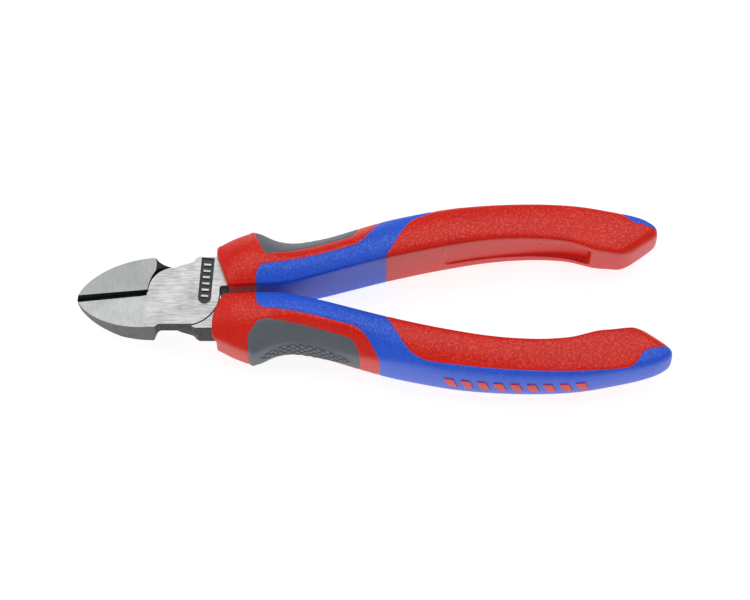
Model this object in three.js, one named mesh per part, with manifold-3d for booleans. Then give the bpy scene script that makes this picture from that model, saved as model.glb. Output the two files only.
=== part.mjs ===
// Diagonal cutting pliers with a lap joint and two-handed moulded grips.
// Millimetres, +Z up. The tool lies flat: +X runs from the jaws to the handle ends,
// +Y is towards the upper handle, and z = 0 is the surface that the grips rest on.
import * as THREE from 'three';
import { mergeVertices } from 'three/addons/utils/BufferGeometryUtils.js';
import { ParametricGeometry } from 'three/addons/geometries/ParametricGeometry.js';
import Module from 'manifold-3d';

const wasm = await Module();
wasm.setup();

// Driving dimensions
const LENGTH = 160;
const TIP_X = -LENGTH / 2;
const PIVOT_X = -51;
const HEAD_HALF = 5.2;
const LAP_CLEARANCE = 0.15;
const LAP_RADIUS = 9.9;
const DISC_RADIUS = 9.35;
const RUNNING_CLEARANCE = 0.25;
const LAP_EDGE = 9.06;
const JAW_HALF_WIDTH = 9.92;
const JAW_ROOT_X = -8.1;
const JAW_GAP = 0.05;
const BEVEL_WIDTH = 0.9;
const BEVEL_DEPTH = 1;
const RIVET_RADIUS = 2.8;
const RIVET_HEAD_RADIUS = 3.4;
const RIVET_HOLE_CLEARANCE = 0.15;
const RIVET_HEAD_HEIGHT = 1;
const TANG_TOP = 10.15;
const TANG_BOTTOM = 1.86;
const TANG_BLOCK_END = 18;
const TANG_HALF = 3.6;
const TANG_END_X = 50;
const MARK_WIDTH = 3.5;
const MARK_DEPTH = 0.6;
const MARK_RIM = 0.3;
const MARK_X = 5.42;
const MARK_Y = -1.6;
const MARK_LEAN = -4.4;
const COLLAR_X = PIVOT_X + 8.6;
const COLLAR_SHOULDER_Y = 10.3;
const COLLAR_SLANT = 0.34;
const COLLAR_LOW_X = PIVOT_X + 7.5;
const COLLAR_LOW_Y = 9.7;
const COLLAR_LOW_CURVE = 0.044;
const HEEL_BACK = 9.4;
const HEEL_Y = 10.3;
const POCKET_START = 18.6;
const POCKET_END = 59;
const POCKET_HALF = 5;
const SKIN_DEPTH = 2;
const FIT_GAP = 0.3;
const UPPER_TAIL_X = 76.4;
const LOWER_TAIL_X = LENGTH / 2;
const BEYOND = 40;

// A smooth value at any x, passing through the given [x, value] stations.
function valueAlong(stations) {
  const last = stations.length - 1;
  const slopeAt = (i) => {
    const [x0, v0] = stations[Math.max(i - 1, 0)];
    const [x1, v1] = stations[Math.min(i + 1, last)];
    return (v1 - v0) / (x1 - x0);
  };
  return (x) => {
    let i = 0;
    while (i < last - 1 && x > stations[i + 1][0]) i += 1;
    const [x0, v0] = stations[i];
    const [x1, v1] = stations[i + 1];
    const span = x1 - x0;
    const t = THREE.MathUtils.clamp((x - x0) / span, 0, 1);
    const start = v0 * (1 + 2 * t) * (1 - t) ** 2 + slopeAt(i) * span * t * (1 - t) ** 2;
    const end = v1 * t * t * (3 - 2 * t) - slopeAt(i + 1) * span * t * t * (1 - t);
    return start + end;
  };
}

// Handle section along x: inner wall, outer corner, bulge of the outer wall and half heights.
const innerWall = valueAlong([
  [-46, 1], [-27, 1.1], [-22.5, 1.6], [-12.5, 4.1], [-6, 5.9], [3.5, 8.4], [17, 11.4],
  [31, 13.7], [43, 14.2], [55, 12.5], [63, 10.7], [69, 10.1], [84, 10],
]);
const outerCorner = valueAlong([
  [-46, 12], [-42, 13.1], [-38.5, 15], [-33, 17.1], [-31, 17], [-27, 15], [-22.3, 14.2],
  [-17, 14.9], [0, 18.9], [13, 21], [26, 22.7], [42, 23.6], [55, 23.3], [65, 22], [72, 20.6], [84, 17],
]);
const outerBulge = valueAlong([[-46, 0.3], [-12, 0.4], [5, 1], [20, 1.8], [50, 1.8], [66, 1.2], [84, 0.8]]);
const innerEdge = valueAlong([
  [-46, 6], [-42, 7.2], [-36, 8.5], [-22.5, 8.9], [-12, 9.6],
  [28, 9.4], [44, 8.6], [55, 7.8], [63, 6.8], [84, 6.2],
]);
const crownRise = valueAlong([
  [-46, 6], [-42, 7.4], [-38, 9.2], [-32, 10.4], [-25, 10.75], [-4, 10.75],
  [3, 10.45], [28, 10], [44, 9], [55, 8.2], [65, 7.4], [84, 6.6],
]);
// The crown is level where the handle is thickest, so the tool lies on a flat stretch under its weight.
const CROWN_LEVEL = 10.741;
const crown = (x) => Math.min(crownRise(x), CROWN_LEVEL);
const outerEdge = valueAlong([
  [-46, 5.2], [-30, 5.3], [-22.5, 4.9], [-13, 4.5], [-3, 6.2], [6, 7.9], [16, 8.6],
  [30, 8.6], [44, 8.1], [55, 7.5], [65, 6.8], [84, 5.4],
]);
const CROWN_PLACE = 0.4;
const EDGE_ROUND = 1.1;
const WALL_SHARE = 0.125;
const CROWN_SHARE = 0.625;
const SIDE_SHARE = 1 - WALL_SHARE - CROWN_SHARE;

// Steel bar inside the handle.
const barTop = valueAlong([
  [-36, 10.15], [-22, 10.6], [-12, 12.4], [3.5, 16.6], [17, 19.3], [31, 21], [52, 21.2],
]);
const barBottom = valueAlong([
  [-36, 3], [-22, 5], [-12, 7.6], [3.5, 12.4], [17, 15.6], [31, 17], [52, 17.2],
]);

function toSolid(geometry) {
  geometry.deleteAttribute('normal');
  geometry.deleteAttribute('uv');
  const merged = mergeVertices(geometry, 1e-5);
  const index = merged.index.array;
  const triangles = [];
  for (let i = 0; i < index.length; i += 3) {
    const [a, b, c] = [index[i], index[i + 1], index[i + 2]];
    if (a !== b && b !== c && c !== a) triangles.push(a, b, c);
  }
  const vertProperties = new Float32Array(merged.attributes.position.array);
  const triVerts = new Uint32Array(triangles);
  return new wasm.Manifold(new wasm.Mesh({ numProp: 3, vertProperties, triVerts }));
}

function toGeometry(solid) {
  const { vertProperties, triVerts } = solid.getMesh();
  const geometry = new THREE.BufferGeometry();
  geometry.setAttribute('position', new THREE.BufferAttribute(new Float32Array(vertProperties), 3));
  geometry.setIndex(new THREE.BufferAttribute(new Uint32Array(triVerts), 1));
  geometry.computeVertexNormals();
  return geometry;
}

// A flat outline raised from z = low to z = high.
function slab(shape, low, high, curveSegments = 6) {
  const options = { depth: high - low, bevelEnabled: false, curveSegments };
  return toSolid(new THREE.ExtrudeGeometry(shape, options).translate(0, 0, low));
}

function polygon(points) {
  return new THREE.Shape(points.map(([x, y]) => new THREE.Vector2(x, y)));
}

// ---- Steel halves, drawn about the pivot, with the jaw below the cutting line ----

function jawEdge(x) {
  const reach = JAW_ROOT_X - (TIP_X - PIVOT_X);
  const t = THREE.MathUtils.clamp((JAW_ROOT_X - x) / reach, 0, 1);
  return JAW_HALF_WIDTH * (1 - t ** 2.1) ** 0.65;
}

function jawOutline() {
  const tip = TIP_X - PIVOT_X;
  const shoulder = LAP_RADIUS + JAW_GAP;
  const shape = new THREE.Shape();
  shape.moveTo(tip, -JAW_GAP);
  shape.absarc(0, 0, shoulder, Math.PI + JAW_GAP / shoulder, Math.PI + 0.67, false);
  shape.lineTo(-7.53, -8.24);
  shape.lineTo(-7.65, -9.3);
  shape.lineTo(JAW_ROOT_X, -JAW_HALF_WIDTH);
  const steps = 12;
  for (let i = 1; i < steps; i += 1) {
    const x = tip + (JAW_ROOT_X - tip) * (1 - Math.sin((i / steps) * Math.PI / 2));
    shape.lineTo(x, -jawEdge(x));
  }
  shape.lineTo(tip, -0.3);
  return shape;
}

// Side view of the jaws: a long front facet and a shorter facet at the back.
const FRONT_FACET_X = -10.1;
const FRONT_TIP_Z = 0.3;
const BACK_FACET_X = -17;
const BACK_TIP_Z = -2;

function jawSideView() {
  const tip = TIP_X - PIVOT_X;
  const points = [
    [tip, BACK_TIP_Z], [BACK_FACET_X, -HEAD_HALF], [0, -HEAD_HALF],
    [0, HEAD_HALF], [FRONT_FACET_X, HEAD_HALF], [tip, FRONT_TIP_Z],
  ];
  const width = 2 * JAW_HALF_WIDTH + 4;
  return slab(polygon(points), -width / 2, width / 2).rotate([90, 0, 0]);
}

// A V cut along the cutting line, following a facet from the tip to the jaw's root.
function bevelCut(tipZ, rootX, rootZ) {
  const tip = TIP_X - PIVOT_X;
  const slope = Math.atan2(rootZ - tipZ, rootX - tip);
  const side = Math.sign(rootZ);
  const triangle = polygon([[0, -side * BEVEL_DEPTH], [BEVEL_WIDTH * 2, side * BEVEL_DEPTH],
    [-BEVEL_WIDTH * 2, side * BEVEL_DEPTH]]);
  const length = Math.hypot(rootX - tip, rootZ - tipZ);
  const options = { depth: length + 2, bevelEnabled: false };
  const wedge = new THREE.ExtrudeGeometry(triangle, options);
  wedge.rotateX(Math.PI / 2).rotateZ(Math.PI / 2);
  wedge.translate(-1, 0, 0).rotateY(-slope).translate(tip, 0, tipZ);
  return toSolid(wedge);
}

function jawSolid() {
  let jaw = slab(jawOutline(), -HEAD_HALF, HEAD_HALF).intersect(jawSideView());
  jaw = jaw.subtract(bevelCut(FRONT_TIP_Z, FRONT_FACET_X, HEAD_HALF));
  return jaw.subtract(bevelCut(BACK_TIP_Z, BACK_FACET_X, -HEAD_HALF));
}

// The half of the joint that lies on the jaw's own side of the lap, with the root of the tang.
function lapOutline() {
  const shape = new THREE.Shape();
  shape.moveTo(FRONT_FACET_X, -JAW_GAP);
  shape.lineTo(-LAP_RADIUS, -JAW_GAP);
  shape.bezierCurveTo(-9.85, 3.8, -7, 6.8, -2.55, 7.06);
  shape.lineTo(-1.18, 7.61);
  shape.lineTo(2.42, 8.69);
  shape.lineTo(3.1, 9.7);
  shape.lineTo(3.87, TANG_TOP);
  shape.lineTo(TANG_BLOCK_END, TANG_TOP);
  shape.lineTo(TANG_BLOCK_END, TANG_BOTTOM);
  shape.lineTo(9.8, TANG_BOTTOM);
  const edgeAngle = Math.asin(LAP_EDGE / DISC_RADIUS);
  const arc = new THREE.Path().absarc(0, 0, DISC_RADIUS, 0.12, -edgeAngle, true);
  arc.getPoints(14).forEach((point) => shape.lineTo(point.x, point.y));
  shape.lineTo(-6.16, -LAP_EDGE);
  shape.quadraticCurveTo(-7.4, -LAP_EDGE, JAW_ROOT_X, -JAW_HALF_WIDTH + 0.05);
  shape.lineTo(FRONT_FACET_X, -JAW_HALF_WIDTH + 0.4);
  return shape;
}

// The root of the tang on the other side of the lap, hollowed to clear the other half's disc.
function tangSocketOutline() {
  const socket = DISC_RADIUS + RUNNING_CLEARANCE;
  const shape = new THREE.Shape();
  shape.moveTo(TANG_BLOCK_END, TANG_BOTTOM);
  shape.lineTo(TANG_BLOCK_END, TANG_TOP);
  shape.lineTo(2.75, TANG_TOP);
  const arc = new THREE.Path().absarc(0, 0, socket, 1.37, 0.195, true);
  arc.getPoints(12).forEach((point) => shape.lineTo(point.x, point.y));
  return shape;
}

// The bar that carries each handle, grown by the given amount where it is used as a cavity.
function barSolid(grow) {
  const start = PIVOT_X + TANG_BLOCK_END - 2;
  const end = TANG_END_X + grow;
  const steps = 14;
  const upper = [];
  const lower = [];
  for (let i = 0; i <= steps; i += 1) {
    const x = start + ((end - start) * i) / steps;
    upper.push([x, barTop(x) + grow]);
    lower.unshift([x, barBottom(x) - grow]);
  }
  const bar = slab(polygon([...lower, ...upper]), -TANG_HALF - grow, TANG_HALF + grow);
  return bar.translate([-PIVOT_X, 0, 0]);
}

// A shank with two countersunk heads. The hole for it is larger all round and runs out of both faces.
function rivetSolid(clearance) {
  const head = RIVET_HEAD_RADIUS + clearance;
  const shank = RIVET_RADIUS + clearance;
  const neck = HEAD_HALF - RIVET_HEAD_HEIGHT;
  const end = HEAD_HALF + clearance;
  const profile = [[0, -end], [head, -end], [shank, -neck], [shank, neck], [head, end], [0, end]];
  const points = profile.map(([r, z]) => new THREE.Vector2(r, z));
  return toSolid(new THREE.LatheGeometry(points, 32).rotateX(Math.PI / 2));
}

function steelHalf(jaw) {
  const lap = slab(lapOutline(), LAP_CLEARANCE, HEAD_HALF, 8);
  const socket = slab(tangSocketOutline(), -HEAD_HALF, 2 * LAP_CLEARANCE);
  const half = jaw.add(lap).add(socket).add(barSolid(0));
  return half.subtract(rivetSolid(RIVET_HOLE_CLEARANCE));
}

// A plain round-ended recess across the front of the joint, closed by a thin rim at its top.
function markRecess() {
  const half = MARK_WIDTH / 2;
  const top = TANG_TOP - MARK_RIM - MARK_Y;
  const shape = new THREE.Shape();
  shape.moveTo(half, top);
  shape.lineTo(-half, top);
  shape.lineTo(-half, 0);
  shape.absarc(0, 0, half, Math.PI, 2 * Math.PI, false);
  const recess = slab(shape, HEAD_HALF - MARK_DEPTH, HEAD_HALF + 1);
  return recess.rotate([0, 0, MARK_LEAN]).translate([MARK_X, MARK_Y, 0]);
}

// ---- Handle, drawn for the upper side ----

// One point of the handle's section; place runs from 0 to 1 around it, from the inner wall over the top.
function sectionPoint(x, place, inset) {
  const over = place < 0.5;
  const s = over ? place * 2 : (1 - place) * 2;
  const inner = innerWall(x) + inset;
  const corner = outerCorner(x) - inset;
  const edgeIn = innerEdge(x) - inset;
  const edgeOut = outerEdge(x) - inset;
  const top = crown(x) - inset;
  const peak = inner + (corner - inner) * CROWN_PLACE;
  let y;
  let z;
  if (s < WALL_SHARE) {
    y = inner;
    z = (edgeIn - EDGE_ROUND) * (s / WALL_SHARE);
  } else if (s < 1 - SIDE_SHARE) {
    const f = (s - WALL_SHARE) / CROWN_SHARE;
    const start = inner + (EDGE_ROUND / 3) * Math.min(f * 8, 1);
    y = start + (corner - start) * f;
    const rise = y < peak ? (peak - y) / (peak - inner) : 0;
    const fall = y > peak ? (y - peak) / (corner - peak) : 0;
    z = top - (top - edgeIn) * rise ** 2 - (top - edgeOut) * fall ** 2;
  } else {
    const turn = ((s - 1 + SIDE_SHARE) / SIDE_SHARE) * (Math.PI / 2);
    y = corner + outerBulge(x) * Math.sin(turn) ** 0.7;
    z = edgeOut * Math.cos(turn);
  }
  return [y, over ? z : -z];
}

function handleLoft(inset) {
  const start = -45;
  const end = 83;
  const rows = 26;
  const around = 16;
  const surface = (u, v, target) => {
    const row = Math.round(v * rows);
    const station = THREE.MathUtils.clamp((row - 1) / (rows - 2), 0, 1);
    const x = start + (end - start) * station;
    if (row === 0 || row === rows) {
      target.set(x, (innerWall(x) + outerCorner(x)) / 2, 0);
      return;
    }
    const place = (Math.round((1 - u) * around) % around) / around;
    const [y, z] = sectionPoint(x, place, inset);
    target.set(x, y, z);
  };
  return toSolid(new ParametricGeometry(surface, around, rows));
}

// Plan view of a handle. Its collar slants over its own lap, and curves round the other half's disc.
function handlePlan(tailX, besideDisc) {
  const shape = new THREE.Shape();
  if (besideDisc) {
    shape.moveTo(COLLAR_LOW_X, BEYOND);
    for (let y = COLLAR_LOW_Y; y > -1; y -= 1.5) {
      shape.lineTo(COLLAR_LOW_X + COLLAR_LOW_CURVE * (COLLAR_LOW_Y - y) ** 2, y);
    }
    shape.lineTo(COLLAR_LOW_X + COLLAR_LOW_CURVE * (COLLAR_LOW_Y + 1) ** 2, -1);
  } else {
    shape.moveTo(COLLAR_X, BEYOND);
    shape.lineTo(COLLAR_X, COLLAR_SHOULDER_Y);
    shape.lineTo(COLLAR_X + COLLAR_SLANT * (COLLAR_SHOULDER_Y + 1), -1);
  }
  const heel = tailX - HEEL_BACK;
  const tipY = tailX > UPPER_TAIL_X ? 16.3 : 18.2;
  shape.lineTo(heel - 4, -1);
  shape.lineTo(heel - 4, HEEL_Y - 1.3);
  shape.lineTo(heel, HEEL_Y);
  shape.lineTo(tailX - 1, tipY - 1.2);
  shape.quadraticCurveTo(tailX + 1.3, tipY + 0.4, tailX - 1.6, tipY + 3.2);
  shape.lineTo(tailX - 4, BEYOND);
  return shape;
}

function handleSolid(tailX) {
  const front = slab(handlePlan(tailX, false), 0, BEYOND);
  const back = slab(handlePlan(tailX, true), -BEYOND, 0);
  return handleLoft(0).intersect(front.add(back));
}

// Plan view of the soft skin: beside the other handle, across in a band and along the outside.
function skinPlan(tailX, grow) {
  const shape = new THREE.Shape();
  const g = grow;
  shape.moveTo(-31.8 - g, -3);
  shape.lineTo(-31.8 - g, 2);
  shape.quadraticCurveTo(-31.7 - g, 6.2 + g, -28.5, 6.4 + g);
  shape.bezierCurveTo(-20, 7.2 + g, -14, 9 + g, -5.6, 11.5 + g);
  shape.bezierCurveTo(-3.2 - g, 12.4 + g, -2 - g, 15.5, 1.3 - g, 21);
  shape.lineTo(1.3 - g, BEYOND);
  shape.lineTo(tailX + 4, BEYOND);
  shape.lineTo(tailX + 4, 15 - g);
  shape.lineTo(tailX - 5.5, 17.4 - g);
  shape.bezierCurveTo(tailX - 9, 18.4 - g, tailX - 9, 21.4 - g, tailX - 13, 22 - g);
  shape.bezierCurveTo(52, 24.4 - g, 32, 23.8 - g, 15, 21.1 - g);
  shape.bezierCurveTo(8 + g, 20 - g, 8 + g, 15.8 - g, 3.1 + g, 9);
  shape.lineTo(3.1 + g, -3);
  return shape;
}

// Plan view of the soft inlay on the outside of the handle's waist.
function inlayPlan(grow) {
  const shape = new THREE.Shape();
  const g = grow;
  shape.moveTo(-33.1 - g, BEYOND);
  shape.lineTo(-33.1 - g, 15.2);
  shape.lineTo(-30.8 - g, 10.6);
  shape.quadraticCurveTo(-30, 9.3 - g, -28.5, 9.3 - g);
  shape.bezierCurveTo(-20, 10.2 - g, -14, 12.2 - g, -6.8 + g, 14.4 - g);
  shape.lineTo(-3.5 + g, 19);
  shape.lineTo(-3.5 + g, BEYOND);
  return shape;
}

function prism(shape) {
  return slab(shape, -BEYOND, BEYOND, 5);
}

// A shallow tapering pocket in the inner wall, deepest towards the handle's end.
function innerPocket() {
  const start = [POCKET_START, innerWall(POCKET_START) + 0.5];
  const end = [POCKET_END, innerWall(POCKET_END) + 2];
  const plan = polygon([[POCKET_START, 5], start, end, [POCKET_END, 5]]);
  return slab(plan, -POCKET_HALF, POCKET_HALF);
}

function gripCore(handle, tailX) {
  const soft = prism(skinPlan(tailX, FIT_GAP)).add(prism(inlayPlan(FIT_GAP)));
  const underlay = handleLoft(SKIN_DEPTH + FIT_GAP);
  const socketEnd = PIVOT_X + TANG_BLOCK_END + FIT_GAP;
  const low = TANG_BOTTOM - FIT_GAP;
  const high = TANG_TOP + FIT_GAP;
  const mouth = polygon([[PIVOT_X, low], [socketEnd, low], [socketEnd, high], [PIVOT_X, high]]);
  const block = slab(mouth, -HEAD_HALF - FIT_GAP, HEAD_HALF + FIT_GAP);
  const bar = barSolid(FIT_GAP).translate([PIVOT_X, 0, 0]);
  const core = handle.subtract(soft.subtract(underlay));
  return core.subtract(block).subtract(bar).subtract(innerPocket());
}

function overmould(handle, shape) {
  return handle.intersect(prism(shape)).subtract(handleLoft(SKIN_DEPTH));
}

// ---- Assembly ----

const steel = { color: 0xa9a9a6, roughness: 0.35, metalness: 1 };
const forgedSteel = { color: 0x8f9290, roughness: 0.45, metalness: 1 };
const pin = { color: 0xb8b8b5, roughness: 0.3, metalness: 1 };
const hardRed = { color: 0xc8322a, roughness: 0.5, metalness: 0 };
const softBlue = { color: 0x2f52b8, roughness: 0.6, metalness: 0 };
const softGrey = { color: 0x4b525a, roughness: 0.65, metalness: 0 };

function mesh(name, solid, look) {
  const object = new THREE.Mesh(toGeometry(solid), new THREE.MeshStandardMaterial(look));
  object.name = name;
  return object;
}

function grip(side, tailX) {
  const handle = handleSolid(tailX);
  const group = new THREE.Group();
  group.add(mesh(`${side}_grip_core`, gripCore(handle, tailX), hardRed));
  group.add(mesh(`${side}_grip_skin`, overmould(handle, skinPlan(tailX, 0)), softBlue));
  group.add(mesh(`${side}_grip_inlay`, overmould(handle, inlayPlan(0)), softGrey));
  return group;
}

const lowerJaw = jawSolid();
const rearJaw = lowerJaw.mirror([0, 0, 1]);

const frontHead = new THREE.Group();
frontHead.position.x = PIVOT_X;
frontHead.add(mesh('front_half', steelHalf(lowerJaw).subtract(markRecess()), steel));
frontHead.add(mesh('pivot_rivet', rivetSolid(0), pin));

// The rear half and the lower grip are the front half and the upper grip turned over about the X axis.
const turnedOver = new THREE.Group();
turnedOver.rotation.x = Math.PI;
const rearHead = new THREE.Group();
rearHead.position.x = PIVOT_X;
rearHead.add(mesh('rear_half', steelHalf(rearJaw), forgedSteel));
turnedOver.add(rearHead, grip('lower', LOWER_TAIL_X));

const pliers = new THREE.Group();
pliers.add(frontHead, grip('upper', UPPER_TAIL_X), turnedOver);

const group = new THREE.Group();
group.name = 'diagonal_cutting_pliers';
group.add(pliers);
pliers.position.z = -new THREE.Box3().setFromObject(pliers).min.z;

export default group;
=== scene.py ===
import math

import bmesh
import bpy
import numpy as np
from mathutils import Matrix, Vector


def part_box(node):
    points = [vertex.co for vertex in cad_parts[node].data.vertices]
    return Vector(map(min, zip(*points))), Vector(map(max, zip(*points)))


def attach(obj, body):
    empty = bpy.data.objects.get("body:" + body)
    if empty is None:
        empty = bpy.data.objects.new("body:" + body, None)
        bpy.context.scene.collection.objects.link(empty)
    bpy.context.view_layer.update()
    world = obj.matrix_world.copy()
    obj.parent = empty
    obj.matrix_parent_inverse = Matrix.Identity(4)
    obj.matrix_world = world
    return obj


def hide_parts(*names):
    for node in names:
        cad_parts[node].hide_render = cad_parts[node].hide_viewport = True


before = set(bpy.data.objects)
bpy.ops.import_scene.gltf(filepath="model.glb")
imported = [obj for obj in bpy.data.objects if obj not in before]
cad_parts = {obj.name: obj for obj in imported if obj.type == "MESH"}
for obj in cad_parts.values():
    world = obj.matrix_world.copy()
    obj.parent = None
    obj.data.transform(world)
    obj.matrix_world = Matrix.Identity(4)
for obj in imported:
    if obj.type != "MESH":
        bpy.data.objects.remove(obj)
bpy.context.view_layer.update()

# Shapes are worked out in millimetres about the tool's middle plane, with x and y as in the frame
# and z from the middle plane. The upper side is drawn; the lower side is it turned over about the X axis.
MM = 0.001
rivet_low, rivet_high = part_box("pivot_rivet")
MID_Z = (rivet_low[2] + rivet_high[2]) / 2
HEAD_HALF = (rivet_high[2] - rivet_low[2]) / 2 / MM
PIVOT_X = (rivet_low[0] + rivet_high[0]) / 2 / MM
TIP_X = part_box("front_half")[0][0] / MM
BAR_END_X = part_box("front_half")[1][0] / MM
UPPER_TAIL_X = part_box("upper_grip_skin")[1][0] / MM
LOWER_TAIL_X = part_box("lower_grip_skin")[1][0] / MM


def add_object(name, data):
    obj = bpy.data.objects.new(name, data)
    bpy.context.scene.collection.objects.link(obj)
    return obj


# ---------------------------------------------------------------- camera, floor and light

SENSOR = 36
LENS = 200
VIEW_WIDTH = 0.2016
VIEW_TILT = math.radians(21)
VIEW_CENTRE = Vector((0.00004, -0.00029, MID_Z))
FLOOR_SIZE = 6
FLOOR_Z = -0.0002
FLOOR_GLOW = 0.86
SKY_GLOW = 0.31


def make_camera():
    data = bpy.data.cameras.new("camera")
    data.lens = LENS
    data.sensor_width = SENSOR
    data.clip_end = 20
    camera = add_object("camera", data)
    distance = LENS * VIEW_WIDTH / SENSOR
    camera.location = VIEW_CENTRE + distance * Vector((0, -math.sin(VIEW_TILT), math.cos(VIEW_TILT)))
    camera.rotation_euler = (VIEW_TILT, 0, 0)
    bpy.context.scene.camera = camera


def area_light(name, location, size, power, aim=(0, 0, 0)):
    data = bpy.data.lights.new(name, "AREA")
    data.shape = "RECTANGLE"
    data.size, data.size_y = size
    data.energy = power
    light = add_object(name, data)
    light.visible_camera = False
    light.location = location
    direction = Vector(aim) - Vector(location)
    light.rotation_euler = direction.to_track_quat("-Z", "Y").to_euler()


def make_studio():
    world = bpy.data.worlds.new("studio")
    world.use_nodes = True
    background = world.node_tree.nodes["Background"]
    background.inputs["Color"].default_value = (0.95, 0.97, 1, 1)
    background.inputs["Strength"].default_value = SKY_GLOW
    bpy.context.scene.world = world
    bpy.context.scene.view_settings.view_transform = "Standard"
    area_light("overhead", (0, 0.50, 1.3), (2.4, 1.1), 13)
    area_light("left_side", (-1.2, 0.1, 0.8), (0.5, 0.9), 1.4)
    area_light("right_side", (1.2, 0.1, 0.8), (0.5, 0.9), 0.3)
    area_light("front_fill", (0, -1.4, 0.8), (2.2, 0.8), 3)
    bpy.ops.mesh.primitive_plane_add(size=FLOOR_SIZE, location=(0, 0, FLOOR_Z))
    floor = bpy.context.object
    floor.name = "floor"
    white = plain_material("floor_white", (0.32, 0.32, 0.32), 0.9)
    shader = white.node_tree.nodes["Principled BSDF"]
    shader.inputs["Emission Color"].default_value = (1, 1, 1, 1)
    shader.inputs["Emission Strength"].default_value = FLOOR_GLOW
    floor.data.materials.append(white)


# ---------------------------------------------------------------- materials

# Painted highlight: pale glints mixed into the plastic's base colour on level faces; how strong, and from
# which steepness of face they fade in.
PAINTED_GLINT = 0.34
PAINTED_GLINT_RANGE = (-2.2, 2.0)
LEVEL_FROM = 0.90
LEVEL_FULL = 0.995
PLASTIC_SPECULAR = 0.26
DRIFT_SHARE = 0.35
CLOUD_SHARE = 0.3


class Nodes:
    """A short way to write a material's node graph."""

    def __init__(self, name):
        self.material = bpy.data.materials.new(name)
        self.material.use_nodes = True
        self.tree = self.material.node_tree
        self.shader = self.tree.nodes["Principled BSDF"]

    def add(self, kind, **settings):
        node = self.tree.nodes.new(kind)
        for key, value in settings.items():
            if hasattr(node, key):
                setattr(node, key, value)
            else:
                node.inputs[key.replace("_", " ")].default_value = value
        return node

    def link(self, source, target):
        self.tree.links.new(source, target)

    def place(self, scale=(1, 1, 1), angle=0.0):
        """Object coordinates, scaled and turned about Z, for a texture."""
        where = self.add("ShaderNodeTexCoord")
        mapping = self.add("ShaderNodeMapping")
        mapping.inputs["Scale"].default_value = scale
        mapping.inputs["Rotation"].default_value = (0, 0, angle)
        self.link(where.outputs["Object"], mapping.inputs["Vector"])
        return mapping.outputs["Vector"]

    def noise(self, vector, scale, detail=3.0, roughness=0.5):
        node = self.add("ShaderNodeTexNoise", Scale=scale, Detail=detail, Roughness=roughness)
        self.link(vector, node.inputs["Vector"])
        return node.outputs["Fac"]

    def ramp(self, factor, low, high, start=0.0, end=1.0):
        node = self.add("ShaderNodeValToRGB")
        node.color_ramp.elements[0].position = start
        node.color_ramp.elements[0].color = low
        node.color_ramp.elements[1].position = end
        node.color_ramp.elements[1].color = high
        self.link(factor, node.inputs["Fac"])
        return node.outputs["Color"]

    def spread(self, factor, low, high):
        """A number from low to high as the factor runs from 0.3 to 0.7."""
        node = self.add("ShaderNodeMapRange")
        node.inputs["From Min"].default_value = 0.3
        node.inputs["From Max"].default_value = 0.7
        node.inputs["To Min"].default_value = low
        node.inputs["To Max"].default_value = high
        self.link(factor, node.inputs["Value"])
        return node.outputs["Result"]

    def painted_glint_share(self, factor):
        """The painted highlight's share: the factor on faces that lie level, fading out on slopes, times the
        glint strength.
        """
        up = self.add("ShaderNodeSeparateXYZ")
        self.link(self.add("ShaderNodeNewGeometry").outputs["Normal"], up.inputs[0])
        size = self.add("ShaderNodeMath", operation="ABSOLUTE")
        self.link(up.outputs["Z"], size.inputs[0])
        level = self.add("ShaderNodeMapRange")
        level.inputs["From Min"].default_value = LEVEL_FROM
        level.inputs["From Max"].default_value = LEVEL_FULL
        self.link(size.outputs[0], level.inputs["Value"])
        share = self.add("ShaderNodeMath", operation="MULTIPLY", use_clamp=True)
        self.link(level.outputs["Result"], share.inputs[0])
        self.link(factor, share.inputs[1])
        faint = self.add("ShaderNodeMath", operation="MULTIPLY")
        faint.inputs[1].default_value = PAINTED_GLINT
        self.link(share.outputs[0], faint.inputs[0])
        return faint.outputs[0]

    def bump(self, height, strength, distance, onto=None):
        node = self.add("ShaderNodeBump")
        node.inputs["Strength"].default_value = strength
        node.inputs["Distance"].default_value = distance
        self.link(height, node.inputs["Height"])
        if onto is not None:
            self.link(onto, node.inputs["Normal"])
        return node.outputs["Normal"]

    def set(self, **values):
        for key, value in values.items():
            socket = self.shader.inputs[key.replace("_", " ")]
            if isinstance(value, bpy.types.NodeSocket):
                self.link(value, socket)
            else:
                socket.default_value = value


def colour(r, g, b):
    return (r, g, b, 1)


def plain_material(name, base, roughness):
    nodes = Nodes(name)
    drift = nodes.noise(nodes.place(), 6, 2)
    shade = tuple(c * 0.98 for c in base)
    nodes.set(Base_Color=nodes.ramp(drift, colour(*shade), colour(*base)), Roughness=roughness)
    return nodes.material


def moulded(name, deep, pale, painted_glint, roughness, grain, strength):
    """Moulded plastic with a spark-eroded grain of the given size in metres, with pale glints painted on
    level faces as a highlight.
    """
    nodes = Nodes(name)
    where = nodes.place()
    drift = nodes.noise(where, 60, 3)
    speck = nodes.noise(where, 1 / grain, 2, 0.6)
    fine = nodes.noise(where, 2.6 / grain, 2, 0.5)
    mix = nodes.add("ShaderNodeMix", data_type="FLOAT")
    mix.inputs[0].default_value = DRIFT_SHARE
    nodes.link(speck, mix.inputs[2])
    nodes.link(drift, mix.inputs[3])
    normal = nodes.bump(speck, strength, grain * 0.35)
    normal = nodes.bump(fine, strength * 0.5, grain * 0.2, normal)
    base = nodes.ramp(mix.outputs[0], colour(*deep), colour(*pale), 0.35, 0.65)
    # Painted highlight: the glint colour replaces the base colour where the grain peaks on level faces.
    tinted = nodes.add("ShaderNodeMix", data_type="RGBA")
    nodes.link(nodes.painted_glint_share(nodes.spread(speck, *PAINTED_GLINT_RANGE)), tinted.inputs[0])
    nodes.link(base, tinted.inputs[6])
    tinted.inputs[7].default_value = colour(*painted_glint)
    nodes.set(
        Base_Color=tinted.outputs[2],
        Roughness=nodes.spread(fine, roughness - 0.06, roughness + 0.08),
        Normal=normal,
    )
    nodes.set(Specular_IOR_Level=PLASTIC_SPECULAR)
    return nodes.material


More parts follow.
